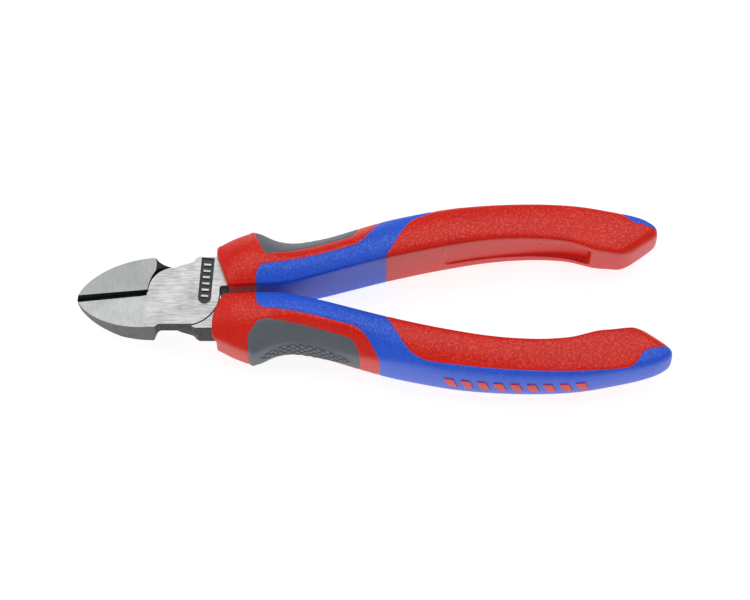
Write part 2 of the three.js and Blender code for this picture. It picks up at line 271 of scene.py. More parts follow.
def brushed(name, dark, light, roughness, stretch, angle=0.0, strength=0.25):
    """Ground steel, its scratches drawn out along the axis where stretch, a texture scale, is smallest."""
    nodes = Nodes(name)
    where = nodes.place(stretch, angle)
    scratch = nodes.noise(where, 1, 4, 0.65)
    cloud = nodes.noise(nodes.place(), 160, 3, 0.6)
    mix = nodes.add("ShaderNodeMix", data_type="FLOAT")
    mix.inputs[0].default_value = CLOUD_SHARE
    nodes.link(scratch, mix.inputs[2])
    nodes.link(cloud, mix.inputs[3])
    nodes.set(
        Base_Color=nodes.ramp(mix.outputs[0], colour(*dark), colour(*light), 0.38, 0.62),
        Roughness=nodes.spread(scratch, roughness - 0.08, roughness + 0.12),
        Normal=nodes.bump(scratch, strength, 0.00004),
        Metallic=0.9,
    )
    return nodes.material


def make_materials():
    return {
        # The third colour of each plastic is its painted highlight, the pale glint on level faces.
        "red": moulded(
            "red_hard_plastic", (0.66, 0.010, 0.003), (0.82, 0.020, 0.007), (0.96, 0.17, 0.12),
            roughness=0.30, grain=0.0006, strength=0.5,
        ),
        "blue": moulded(
            "blue_soft_plastic", (0.016, 0.085, 0.60), (0.030, 0.130, 0.84), (0.12, 0.26, 0.98),
            roughness=0.34, grain=0.00055, strength=0.45,
        ),
        "grey": moulded(
            "grey_soft_plastic", (0.105, 0.116, 0.132), (0.138, 0.152, 0.173), (0.18, 0.19, 0.21),
            roughness=0.42, grain=0.0004, strength=0.2,
        ),
        "ground": brushed(
            "ground_face", (0.25, 0.25, 0.25), (0.57, 0.57, 0.57),
            roughness=0.34, stretch=(300, 3600, 3600),
        ),
        "facet": brushed(
            "ground_facet", (0.34, 0.348, 0.344), (0.56, 0.568, 0.564),
            roughness=0.40, stretch=(2600, 620, 2600), angle=0.25,
        ),
        # A smoother finish than the ground facet, and darker: shade painted into its base colour.
        "smooth_shaded_facet": brushed(
            "smooth_shaded_facet", (0.30, 0.311, 0.307), (0.36, 0.371, 0.367),
            roughness=0.40, stretch=(1800, 260, 1800), strength=0.1,
        ),
        "side": brushed(
            "jaw_side", (0.078, 0.081, 0.080), (0.104, 0.108, 0.106),
            roughness=0.42, stretch=(500, 500, 500), strength=0.08,
        ),
        "dark_side": brushed(
            "forged_side", (0.014, 0.015, 0.015), (0.024, 0.025, 0.025),
            roughness=0.45, stretch=(500, 500, 500), strength=0.1,
        ),
        "edge": brushed(
            "cutting_bevel", (0.020, 0.022, 0.022), (0.036, 0.04, 0.039),
            roughness=0.5, stretch=(700, 700, 700), strength=0.1,
        ),
        "mark": plain_material("mark_recess", (0.045, 0.045, 0.048), 0.55),
    }


# ---------------------------------------------------------------- mesh helpers

def new_object(name, vertices, faces):
    mesh = bpy.data.meshes.new(name)
    mesh.from_pydata([tuple(v) for v in vertices], [], [tuple(f) for f in faces])
    mesh.update()
    return add_object(name, mesh)


def combine(obj, tool, operation, keep_tool=False):
    """Cut, join or intersect obj with tool, and keep the result as obj's mesh."""
    modifier = obj.modifiers.new("combine", "BOOLEAN")
    modifier.object = tool
    modifier.operation = operation
    modifier.solver = "MANIFOLD"
    bake_modifiers(obj)
    if not keep_tool:
        discard(tool)
    return obj


def bake_modifiers(obj):
    evaluated = obj.evaluated_get(bpy.context.evaluated_depsgraph_get())
    old = obj.data
    obj.data = bpy.data.meshes.new_from_object(evaluated)
    obj.modifiers.clear()
    bpy.data.meshes.remove(old)


def duplicate(obj):
    return add_object("copy", obj.data.copy())


def discard(*objects):
    for obj in objects:
        bpy.data.objects.remove(obj)


def positions(obj):
    flat = np.empty(len(obj.data.vertices) * 3)
    obj.data.vertices.foreach_get("co", flat)
    return flat.reshape(-1, 3)


def set_positions(obj, points):
    obj.data.vertices.foreach_set("co", points.astype(np.float32).ravel())
    obj.data.update()


def vertex_normals(obj):
    flat = np.empty(len(obj.data.vertices) * 3)
    obj.data.vertex_normals.foreach_get("vector", flat)
    return flat.reshape(-1, 3)


def prism(outline, low, high, name="prism"):
    """An outline of (x, y) points raised from z = low to z = high."""
    mesh = bpy.data.meshes.new(name)
    bm = bmesh.new()
    base = bm.faces.new([bm.verts.new((x, y, low)) for x, y in outline])
    raised = bmesh.ops.extrude_face_region(bm, geom=[base])
    moved = [item for item in raised["geom"] if isinstance(item, bmesh.types.BMVert)]
    bmesh.ops.translate(bm, vec=(0, 0, high - low), verts=moved)
    bmesh.ops.recalc_face_normals(bm, faces=bm.faces)
    bm.to_mesh(mesh)
    bm.free()
    return add_object(name, mesh)


def side_prism(outline, low, high, name="side_prism"):
    """An outline of (x, z) points raised from y = low to y = high."""
    obj = prism(outline, -high, -low, name)
    points = positions(obj)
    set_positions(obj, np.stack([points[:, 0], -points[:, 2], points[:, 1]], axis=1))
    return obj


def arc(radius, start, end, steps, centre=(0, 0)):
    return [
        (centre[0] + radius * math.cos(a), centre[1] + radius * math.sin(a))
        for a in np.linspace(start, end, steps + 1)
    ]


def bezier(a, b, c, d, steps):
    """Points along a cubic curve, without its first point."""
    t = np.linspace(0, 1, steps + 1)[1:, None]
    a, b, c, d = (np.array(p, float) for p in (a, b, c, d))
    curve = a * (1 - t) ** 3 + 3 * b * t * (1 - t) ** 2 + 3 * c * t * t * (1 - t) + d * t ** 3
    return [tuple(p) for p in curve]


def to_frame(obj, turned):
    """From the working millimetres to the frame's metres, turned over about X for the lower side."""
    points = positions(obj) * MM
    if turned:
        points[:, 1:] *= -1
    points[:, 2] += MID_Z
    set_positions(obj, points)


def move_to_pivot(obj):
    """From x measured from the pivot to the frame's x, both in millimetres."""
    points = positions(obj)
    points[:, 0] += PIVOT_X
    set_positions(obj, points)


def shade(obj, sharp_degrees):
    obj.data.shade_smooth()
    obj.data.set_sharp_from_angle(angle=math.radians(sharp_degrees))


# ---------------------------------------------------------------- handle shape

def value_along(stations):
    """A smooth value at any x, passing through the given [x, value] stations."""
    xs = np.array([s[0] for s in stations], float)
    vs = np.array([s[1] for s in stations], float)
    slopes = np.empty_like(vs)
    slopes[1:-1] = (vs[2:] - vs[:-2]) / (xs[2:] - xs[:-2])
    slopes[0] = (vs[1] - vs[0]) / (xs[1] - xs[0])
    slopes[-1] = (vs[-1] - vs[-2]) / (xs[-1] - xs[-2])

    def value(x):
        x = np.asarray(x, float)
        i = np.clip(np.searchsorted(xs, x) - 1, 0, len(xs) - 2)
        span = xs[i + 1] - xs[i]
        t = np.clip((x - xs[i]) / span, 0, 1)
        start = vs[i] * (1 + 2 * t) * (1 - t) ** 2 + slopes[i] * span * t * (1 - t) ** 2
        end = vs[i + 1] * t * t * (3 - 2 * t) - slopes[i + 1] * span * t * t * (1 - t)
        return start + end

    return value


inner_wall = value_along([
    (-46, 1), (-27, 1.1), (-22.5, 1.6), (-12.5, 4.1), (-6, 5.9), (3.5, 8.4), (17, 11.4),
    (31, 13.7), (43, 14.3), (52, 13.6), (56, 12.5), (59.5, 11.4), (63, 11), (70, 10.1), (84, 10),
])
outer_corner = value_along([
    (-46, 12), (-42, 13.1), (-38.5, 15), (-33, 17.1), (-31, 17), (-27, 15), (-22.3, 14.2),
    (-17, 14.9), (0, 18.9), (13, 21), (26, 22.7), (42, 23.6), (55, 23.3), (65, 22), (72, 20.6), (84, 17),
])
outer_bulge = value_along([(-46, 0.3), (-12, 0.4), (5, 1), (20, 1.8), (50, 1.8), (66, 1.2), (84, 0.8)])
inner_edge = value_along([
    (-46, 6), (-42, 7.2), (-36, 8.5), (-22.5, 8.9), (-12, 9.6), (28, 9.4),
    (44, 8.7), (55, 8), (63, 7.1), (84, 6.4),
])
crown_rise = value_along([
    (-46, 6), (-42, 7.4), (-38, 9.2), (-32, 10.4), (-25, 10.75), (-4, 10.75),
    (3, 10.45), (28, 10), (44, 9), (55, 8.2), (65, 7.4), (84, 6.6),
])
outer_edge = value_along([
    (-46, 5.2), (-30, 5.3), (-22.5, 4.9), (-13, 4.5), (-3, 6.2), (6, 7.9), (16, 8.6),
    (30, 8.6), (44, 8.1), (55, 7.5), (65, 6.8), (84, 5.4),
])
bar_top = value_along([(-36, 10.15), (-22, 10.6), (-12, 12.4), (3.5, 16.6), (17, 19.3), (31, 21), (52, 21.2)])
bar_bottom = value_along([(-36, 3), (-22, 5), (-12, 7.6), (3.5, 12.4), (17, 15.6), (31, 17), (52, 17.2)])

CROWN_LEVEL = 10.741
CROWN_PLACE = 0.4
BULGE_POWER = 0.7
ROUNDING = 0.8
ROW_BLUR = 1.0
WALL_POINTS = 12
CROWN_POINTS = 60
CORNER_POINTS = 24
GRID_START = -50
GRID_END = 86
GRID_STEP = 0.25
TAIL_DROP = 1.6
TAIL_DROP_LENGTH = 7
TAIL_ROUND = 4.5
TAIL_SINK = 0.2


def smooth_step(t):
    t = np.clip(t, 0, 1)
    return t * t * (3 - 2 * t)


def section_grid(tail_x, inset, around):
    """Handle sections square to X: (rows, around, 2) values of y and z, corners rounded off."""
    xs = np.arange(GRID_START, GRID_END + GRID_STEP / 2, GRID_STEP)[:, None]
    inner = inner_wall(xs) + inset
    drop = TAIL_DROP * np.clip((xs - tail_x + TAIL_DROP_LENGTH) / TAIL_DROP_LENGTH, 0, 1.3) ** 3
    corner = outer_corner(xs) - drop - inset
    edge_in = inner_edge(xs) - inset
    edge_out = outer_edge(xs) - inset
    top = np.minimum(crown_rise(xs), CROWN_LEVEL) - inset
    peak = inner + (corner - inner) * CROWN_PLACE

    wall = np.linspace(0, 1, WALL_POINTS)[None, :-1]
    wall_y = inner + 0 * wall
    wall_z = edge_in * wall
    across = np.linspace(0, 1, CROWN_POINTS)[None, :-1]
    crown_y = inner + (corner - inner) * across
    rise = np.clip((peak - crown_y) / (peak - inner), 0, 1)
    fall = np.clip((crown_y - peak) / (corner - peak), 0, 1)
    crown_z = top - (top - edge_in) * rise ** 2 - (top - edge_out) * fall ** 2
    turn = np.linspace(0, math.pi / 2, CORNER_POINTS)[None, :]
    side_y = corner + outer_bulge(xs) * np.sin(turn) ** BULGE_POWER
    side_z = edge_out * np.cos(turn)

    half_y = np.hstack([wall_y, crown_y, side_y])
    half_z = np.hstack([wall_z, crown_z, side_z])
    loop_y = np.hstack([half_y, half_y[:, -2:0:-1], half_y[:, :1]])
    loop_z = np.hstack([half_z, -half_z[:, -2:0:-1], half_z[:, :1]])
    lengths = np.hypot(np.diff(loop_y), np.diff(loop_z)).cumsum(axis=1)
    lengths = np.hstack([np.zeros((len(xs), 1)), lengths])
    grid = np.empty((len(xs), around, 2))
    for row, along in enumerate(lengths):
        stops = np.linspace(0, along[-1], around + 1)[:-1]
        grid[row, :, 0] = np.interp(stops, along, loop_y[row])
        grid[row, :, 1] = np.interp(stops, along, loop_z[row])
    sigma = ROUNDING * around / lengths[:, -1:]
    waves = np.fft.rfftfreq(around) * 2 * math.pi
    soften = np.exp(-0.5 * (waves[None, :] * sigma) ** 2)[:, :, None]
    grid = np.fft.irfft(np.fft.rfft(grid, axis=1) * soften, n=around, axis=1)
    return blur_rows(grid, ROW_BLUR / GRID_STEP)


def blur_rows(grid, sigma):
    """Smooth the sections along the handle, sigma being a number of rows."""
    reach = int(3 * sigma) + 1
    weights = np.exp(-0.5 * (np.arange(-reach, reach + 1) / sigma) ** 2)
    weights /= weights.sum()
    padded = np.pad(grid, ((reach, reach), (0, 0), (0, 0)), mode="edge")
    return sum(w * padded[i:i + len(grid)] for i, w in enumerate(weights))


FRONT_BASE = -42.5
FRONT_FADE = 14
COLLAR_X = PIVOT_X + 8.6
COLLAR_LOW_X = PIVOT_X + 7.5
COLLAR_LOW_Y = 9.7
COLLAR_LOW_CURVE = 0.044
COLLAR_SHOULDER_Y = 10.3
COLLAR_SLANT = 0.343
COLLAR_BLEND_Z = -5
COLLAR_BLEND_HEIGHT = 4
HEEL_Y = 10.2
HEEL_BACK = 9
UPPER_TIP_Y = 16.7
LOWER_TIP_Y = 16.3
TAIL_FADE = 26
FINE_ROWS_END = -2
END_ROUND_STEPS = 12
SHIFT_PASSES = 12
# Edge rounding at the front and at the tail, for the handle itself and for the shape under its skin.
OUTER_ROUNDS = (0.7, 1.6)
INNER_ROUNDS = (0.4, 0.9)


def front_line(y, z):
    """Where a collar starts: a straight slant over its own lap, a curve round the other half's disc."""
    own = COLLAR_X + COLLAR_SLANT * np.clip(COLLAR_SHOULDER_Y - y, 0, None)
    other = COLLAR_LOW_X + COLLAR_LOW_CURVE * np.clip(COLLAR_LOW_Y - y, 0, None) ** 2
    return other + (own - other) * smooth_step((z - COLLAR_BLEND_Z) / COLLAR_BLEND_HEIGHT)


def tail_slope(tail_x):
    """How far the end face leans back per millimetre of y; the upper handle is the shorter one."""
    tip_y = UPPER_TIP_Y if tail_x < LOWER_TAIL_X - 1 else LOWER_TIP_Y
    return HEEL_BACK / (tip_y - HEEL_Y)


def handle_rings(tail_x, inset=0.0, around=220, row_step=0.36, fine_step=0.24):
    """Rings of the handle from its slanted front to its slanted end, as (rings, around, 3)."""
    grid = section_grid(tail_x, inset, around)
    slope = tail_slope(tail_x)
    tilt = math.hypot(1, slope)
    start = FRONT_BASE + inset
    end = tail_x - HEEL_BACK - inset * tilt
    front_round, tail_round = OUTER_ROUNDS if inset <= 0 else INNER_ROUNDS
    turn = np.linspace(0, math.pi / 2, END_ROUND_STEPS)
    front_rows = start + front_round * (1 - np.cos(turn))
    front_inset = front_round * (1 - np.sin(turn))
    tail_rows = end - tail_round * (1 - np.sin(turn)) * tilt
    tail_inset = tail_round * (1 - np.cos(turn))
    fine = np.arange(front_rows[-1] + fine_step, FINE_ROWS_END, fine_step)
    rest = np.arange(FINE_ROWS_END, tail_rows[0] - row_step / 2, row_step)
    bases = np.concatenate([front_rows, fine, rest, tail_rows])
    middle_rows = np.zeros(len(fine) + len(rest))
    insets = np.concatenate([front_inset, middle_rows, np.zeros(len(tail_rows))])
    shrink = np.concatenate([np.zeros(len(front_rows)), middle_rows, tail_inset])[:, None]

    base = bases[:, None] + np.zeros((1, around))
    x = base.copy()
    columns = np.arange(around)[None, :]
    front_fade = 1 - smooth_step((base - start) / FRONT_FADE)
    tail_fade = np.clip((base - end + TAIL_FADE) / TAIL_FADE, 0, 1) ** 2

    def shifted(y, z):
        front = (front_line(y, z) + inset - start) * front_fade
        return base + front + slope * (y - HEEL_Y - inset) * tail_fade

    for _ in range(SHIFT_PASSES):
        place = np.clip((x - GRID_START) / GRID_STEP, 0, len(grid) - 1.001)
        row = place.astype(int)
        share = (place - row)[:, :, None]
        yz = grid[row, columns] * (1 - share) + grid[row + 1, columns] * share
        x = 0.4 * x + 0.6 * shifted(yz[:, :, 0], yz[:, :, 1])
    reach = np.clip(1 - (tail_x - HEEL_BACK - bases) / (tilt * TAIL_ROUND), 0, 1)
    yz[:, :, 1] *= 1 - TAIL_SINK * (1 - np.sqrt(1 - reach ** 2))[:, None]
    stretch = 1 + (tilt - 1) * tail_fade
    dy = (np.roll(yz[:, :, 0], -1, 1) - np.roll(yz[:, :, 0], 1, 1)) * stretch
    dz = np.roll(yz[:, :, 1], -1, 1) - np.roll(yz[:, :, 1], 1, 1)
    length = np.hypot(dy, dz)
    y = yz[:, :, 0] + insets[:, None] * dz / length / stretch
    z = yz[:, :, 1] - insets[:, None] * dy / length
    middle = (y.max(axis=1) + y.min(axis=1))[:, None] / 2
    y = middle + (y - middle) * (1 - 2 * shrink / np.ptp(y, axis=1)[:, None])
    z = z * (1 - shrink / z.max(axis=1)[:, None])
    return np.stack([shifted(y, z), y, z], axis=2)


def ring_mesh(rings, name):
    """A closed mesh over rings, with a fan at each end."""
    count, around = rings.shape[:2]
    points = rings.reshape(-1, 3)
    index = np.arange(count * around).reshape(count, around)
    after = np.roll(index, -1, axis=1)
    sides = np.stack([index[:-1], index[1:], after[1:], after[:-1]], axis=-1).reshape(-1, 4)
    first, last = len(points), len(points) + 1
    points = np.vstack([points, rings[0].mean(axis=0), rings[-1].mean(axis=0)])
    start_cap = [(first, a, b) for a, b in zip(index[0], after[0])]
    end_cap = [(last, b, a) for a, b in zip(index[-1], after[-1])]
    return new_object(name, points, sides.tolist() + start_cap + end_cap)


# ---------------------------------------------------------------- grip zones and details

REACH = 40
FAR = 9.0
CLOSING_Y = -2
SKIN_EDGE = 0.6


def skin_outline(tail_x, turned):
    """Plan of the soft blue skin: beside the other handle, across in a band, and along the outside."""
    points = [(-31.8, -3), (-31.8, 2)]
    points += bezier((-31.8, 2), (-31.75, 5), (-30.8, 6.3), (-28.5, 6.4), 12)
    points += bezier((-28.5, 6.4), (-20, 7.2), (-14, 9), (-5.6, 11.5), 16)
    points += bezier((-5.6, 11.5), (-3.2, 12.4), (-1.4, 15.5), (1.9, 21), 12)
    points += [(1.9, REACH), (tail_x + 4, REACH)]
    if turned:
        points += [(tail_x + 4, 14.6), (tail_x - 4.4, 16), (tail_x - 7.4, 16.8)]
        points += bezier(points[-1], (tail_x - 9.6, 17.6), (tail_x - 9.4, 21.2), (tail_x - 13, 22), 14)
        points += bezier(points[-1], (52, 24.4), (32, 23.8), (15, 21.1), 24)
    else:
        points += [(tail_x + 4, 16.6), (tail_x - 0.5, 17.9), (tail_x - 4.1, 19.2), (tail_x - 6, 19.5)]
        points += bezier(points[-1], (tail_x - 8, 19.8), (tail_x - 8.5, 21.6), (tail_x - 11, 22.9), 10)
        points += [(x, outer_corner(x) + SKIN_EDGE * outer_bulge(x)) for x in np.linspace(63, 24, 20)]
        points += bezier(points[-1], (20, 24.4), (16.5, 23.2), (13.4, 20.8), 8)
    points += bezier(points[-1], (8, 19.6), (8, 15.8), (3.1, 9), 16)
    return points + [(3.1, -3)]


def inlay_outline(turned):
    """Plan of the soft grey inlay on the outside of the waist, a little longer on the lower handle."""
    points = [(-33.8, 13.4), (-31.3, 9.9)] if turned else [(-32.4, 17), (-30.3, 11.2)]
    points = [(points[0][0], REACH)] + points
    points += bezier(points[-1], (-29.9, 9.6), (-29.4, 9.3), (-28.5, 9.3), 8)
    points += bezier((-28.5, 9.3), (-20, 10.2), (-14, 12.2), (-7.4, 14.2), 14)
    points += bezier((-7.4, 14.2), (-6.2, 14.6), (-5.7, 15.2), (-4.7, 17), 8)
    return points + [(-3.4, 20), (-3.4, REACH)]


def distance_to_line(points, outline):
    """Plan distance from each point to an outline, without the stretches that only close it."""
    line = np.array(outline)
    best = np.full(len(points), FAR)
    for a, b in zip(line, np.roll(line, -1, axis=0)):
        if min(a[1], b[1]) >= REACH or max(a[1], b[1]) < CLOSING_Y:
            continue
        along = b - a
        t = np.clip(((points - a) @ along) / (along @ along + 1e-9), 0, 1)
        best = np.minimum(best, np.linalg.norm(points - a - t[:, None] * along, axis=1))
    return best


TEXTURE_CENTRE_X = -18.5
TEXTURE_HALF_LENGTH = 12.8
TEXTURE_HALF_HEIGHT = 4.4
SCALE_LENGTH = 2.3
SCALE_HEIGHT = 1.4
SCALE_RISE = 0.5
LIP_X = -32.7
LIP_WIDTH = 0.7
LIP_RISE = 0.3


def scale_pattern(x, z, wall):
    """Height of the pressed diamond pattern on the outer wall of the waist."""
    patch = ((x - TEXTURE_CENTRE_X) / TEXTURE_HALF_LENGTH) ** 2 + (z / TEXTURE_HALF_HEIGHT) ** 2
    fade = smooth_step((1 - patch) / 0.25) * wall
    u = x / SCALE_LENGTH
    v = z / SCALE_HEIGHT
    rising = np.abs(np.sin(math.pi * (u + v / 2)))
    falling = np.abs(np.sin(math.pi * (u - v / 2)))
    ridge = np.minimum(rising, falling)
    return fade * SCALE_RISE * (smooth_step(ridge / 0.5) - 0.7)


def emboss_inlay(handle):
    """Press the diamond pattern into the handle where its outer wall faces outwards."""
    normals = vertex_normals(handle)
    points = positions(handle)
    wall = smooth_step((normals[:, 1] - 0.3) / 0.3)
    rise = scale_pattern(points[:, 0], points[:, 2], wall)
    rise += wall * LIP_RISE * np.exp(-(((points[:, 0] - LIP_X) / LIP_WIDTH) ** 2))
    set_positions(handle, points + normals * rise[:, None])


POCKET_START = 18.6
POCKET_END = 58.2
POCKET_HALF = 5.2
POCKET_ROUND = 2
POCKET_SLOPE = 0.5
POCKET_DEPTH = (0.4, 1.8)


def press_pocket(handle):
    """Press a shallow round-cornered pocket into the inner wall, deeper towards the handle's end."""
    points = positions(handle)
    wall = smooth_step((-vertex_normals(handle)[:, 1] - 0.6) / 0.25)
    half = np.array([(POCKET_END - POCKET_START) / 2, POCKET_HALF])
    off = np.abs(points[:, [0, 2]] - [(POCKET_END + POCKET_START) / 2, 0]) - half + POCKET_ROUND
    outside = np.linalg.norm(np.clip(off, 0, None), axis=1) + np.clip(off.max(axis=1), None, 0) - POCKET_ROUND
    share = np.clip((points[:, 0] - POCKET_START) / (POCKET_END - POCKET_START), 0, 1)
    depth = POCKET_DEPTH[0] + (POCKET_DEPTH[1] - POCKET_DEPTH[0]) * share ** 3
    points[:, 1] += wall * depth * smooth_step(-outside / POCKET_SLOPE)
    set_positions(handle, points)


BAR_COUNT = 9
BAR_PITCH = 4.4
BAR_WIDTH = 2.4
BAR_HALF_HEIGHT = 2.6
BAR_FIRST_X = 19
BAR_LEAN = 0.25
BAR_RISE = 0.22
BAR_FLOOR_Y = 19


def outer_bars():
    """Plain slanted bars in a row along the outer wall."""
    joined = None
    for i in range(BAR_COUNT):
        x = BAR_FIRST_X + i * BAR_PITCH
        lean = BAR_LEAN * BAR_HALF_HEIGHT
        outline = [
            (x - lean, -BAR_HALF_HEIGHT), (x + BAR_WIDTH - lean, -BAR_HALF_HEIGHT),
            (x + BAR_WIDTH + lean, BAR_HALF_HEIGHT), (x + lean, BAR_HALF_HEIGHT),
        ]
        bar = side_prism(outline, BAR_FLOOR_Y, REACH, "bar")
        joined = bar if joined is None else combine(joined, bar, "UNION")
    return joined


GROOVE_WIDTH = 0.32
GROOVE_DEPTH = 0.13


def press_seams(piece, outlines, centre_y):
    """Draw the surface in slightly along the lines where two materials meet."""
    points = positions(piece)
    near = np.full(len(points), FAR)
    for outline in outlines:
        near = np.minimum(near, distance_to_line(points[:, :2], outline))
    depth = GROOVE_DEPTH * np.clip(1 - near / GROOVE_WIDTH, 0, 1)
    towards = np.stack([0 * near, centre_y(points[:, 0]) - points[:, 1], -points[:, 2]], axis=1)
    towards /= np.linalg.norm(towards, axis=1)[:, None] + 1e-9
    set_positions(piece, points + towards * depth[:, None])


def handle_middle(x):
    return (inner_wall(x) + outer_corner(x)) / 2


SKIN_DEPTH = 2
TANG_CLEARANCE = 0.03
GRIP_SHARP_ANGLE = 32
STEEL_SHARP_ANGLE = 20


def grip(side, tail_x, materials):
    """One handle's three mouldings, cut from one handle shape."""
    turned = side == "lower"
    body = "rear_lever" if turned else "front_lever"
    skin_line = skin_outline(tail_x, turned)
    inlay_line = inlay_outline(turned)
    handle = ring_mesh(handle_rings(tail_x), "handle")
    emboss_inlay(handle)
    press_pocket(handle)
    under = ring_mesh(handle_rings(tail_x, SKIN_DEPTH, around=64, row_step=1.5, fine_step=1.5), "under")
    skin_prism = prism(skin_line, -REACH, REACH, "skin_prism")
    inlay_prism = prism(inlay_line, -REACH, REACH, "inlay_prism")

    skin = combine(combine(duplicate(handle), skin_prism, "INTERSECT", True), under, "DIFFERENCE", True)
    inlay = combine(combine(duplicate(handle), inlay_prism, "INTERSECT", True), under, "DIFFERENCE", True)
    soft = combine(combine(skin_prism, inlay_prism, "UNION"), under, "DIFFERENCE")
    core = combine(duplicate(handle), soft, "DIFFERENCE")
    bars = outer_bars()
    skin = combine(skin, bars, "DIFFERENCE", True)
    proud = ring_mesh(handle_rings(tail_x, -BAR_RISE, row_step=0.5, fine_step=0.5), "proud")
    core = combine(core, combine(bars, proud, "INTERSECT"), "UNION")
    core = combine(core, tang_solid(TANG_CLEARANCE), "DIFFERENCE")
    discard(handle)

    for piece, name, look in ((core, "core", "red"), (skin, "skin", "blue"), (inlay, "inlay", "grey")):
        press_seams(piece, (skin_line, inlay_line), handle_middle)
        to_frame(piece, turned)
        finish_piece(piece, f"{side}_handle_{name}", materials[look], f"{side}_grip_{name}", body)
        shade(piece, GRIP_SHARP_ANGLE)


def finish_piece(piece, name, material, node, body):
    piece.name = name
    piece.data.name = name
    if material is not None:
        piece.data.materials.clear()
        piece.data.materials.append(material)
    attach(piece, body)
    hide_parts(node)


# ---------------------------------------------------------------- steel, drawn about the pivot

LAP_GAP = 0.03
LAP_RADIUS = 9.9
DISC_RADIUS = 9.38
SOCKET_RADIUS = 9.74
LAP_EDGE = 9.06
JAW_HALF_WIDTH = 9.92
JAW_ROOT_X = -8.1
JAW_GAP = 0.04
JAW_TIP_X = TIP_X - PIVOT_X
LAP_START_X = -10
LOWER_FACET_X = -10.4
UPPER_FACET_X = -7.4
FACET_TURN = 0.23
FRONT_TIP_Z = 0.3
BACK_FACET_X = -17
BACK_TIP_Z = -2
TANG_TOP = 10.15
TANG_BOTTOM = 1.86
BLOCK_END = 18
BAR_HALF = 3.6
RIVET_RADIUS = 2.8
RIVET_HEAD = 3.3
RIVET_NECK = 1.0
RIVET_STEPS = 96
RIVET_CLEARANCE = 0.015
# Half width and depth of the bevels along the cutting edge, on the front and on the back.
FRONT_BEVEL = (0.95, 1.1)
BACK_BEVEL = (0.9, 1.0)
BEVEL_END_X = -7
EDGE_BREAK = 0.1
EDGE_BREAK_ANGLE = math.radians(24)
FLAT_ANGLE = math.radians(0.3)


def jaw_edge(x):
    t = np.clip((JAW_ROOT_X - x) / (JAW_ROOT_X - JAW_TIP_X), 0, 1)
    return JAW_HALF_WIDTH * (1 - t ** 2.1) ** 0.65


def jaw_outline():
    shoulder = LAP_RADIUS + JAW_GAP
    points = [(JAW_TIP_X, -JAW_GAP)]
    points += arc(shoulder, math.pi + JAW_GAP / shoulder, math.pi + 0.66, 22)
    points += bezier(points[-1], (-7.55, -6.9), (-7.5, -7.6), (-7.53, -8.24), 6)
    points += [(-7.62, -9.2), (JAW_ROOT_X, -JAW_HALF_WIDTH)]
    for turn in np.linspace(0, math.pi / 2, 56)[1:-1]:
        x = JAW_TIP_X + (JAW_ROOT_X - JAW_TIP_X) * (1 - math.sin(turn))
        points.append((x, -float(jaw_edge(x))))
    return points + [(JAW_TIP_X, -0.3)]


def beyond_tip(tip_z, root_x, root_z):
    """A point past the jaw's tip, on the line of a facet."""
    x = JAW_TIP_X - 1
    return x, tip_z - (root_z - tip_z) / (root_x - JAW_TIP_X)


def jaw_side_view(facet_x, turn):
    """The jaw seen from the side, with its front facet's edge turned a little in plan."""
    outline = [
        beyond_tip(BACK_TIP_Z, BACK_FACET_X, -HEAD_HALF), (BACK_FACET_X, -HEAD_HALF), (2, -HEAD_HALF),
        (2, HEAD_HALF), (facet_x, HEAD_HALF), beyond_tip(FRONT_TIP_Z, facet_x, HEAD_HALF),
    ]
    view = side_prism(outline, -14, 14, "jaw_side")
    points = positions(view)
    facet = (points[:, 2] > BACK_TIP_Z + 1) & (points[:, 0] < 0)
    points[facet, 0] -= turn * (points[facet, 1] + JAW_HALF_WIDTH / 2)
    set_positions(view, points)
    return view


def bevel_cut(tip_z, root_x, root_z, width, depth):
    """A V cut along the cutting line that follows a facet from the tip to the jaw's root."""
    side = math.copysign(1, root_z)
    points = []
    for x, z in (beyond_tip(tip_z, root_x, root_z), (root_x, root_z), (BEVEL_END_X, root_z)):
        open_z = z + side * depth
        points += [(x, 0, z - side * depth), (x, 2 * width, open_z), (x, -2 * width, open_z)]
    faces = [(0, 1, 2), (8, 7, 6)]
    for start in (0, 3):
        for a, b in ((0, 2), (2, 1), (1, 0)):
            faces.append((start + a, start + b, start + 3 + b, start + 3 + a))
    obj = new_object("bevel", points, faces)
    face_outwards(obj)
    return obj


def face_outwards(obj):
    bm = bmesh.new()
    bm.from_mesh(obj.data)
    bmesh.ops.recalc_face_normals(bm, faces=bm.faces)
    bm.to_mesh(obj.data)
    bm.free()


def jaw_solid(facet_x, turn):
    """The jaw below the cutting line, front face up."""
    outline = prism(jaw_outline(), -HEAD_HALF, HEAD_HALF, "jaw")
    jaw = combine(outline, jaw_side_view(facet_x, turn), "INTERSECT")
    jaw = combine(jaw, bevel_cut(FRONT_TIP_Z, facet_x, HEAD_HALF, *FRONT_BEVEL), "DIFFERENCE")
    return combine(jaw, bevel_cut(BACK_TIP_Z, BACK_FACET_X, -HEAD_HALF, *BACK_BEVEL), "DIFFERENCE")


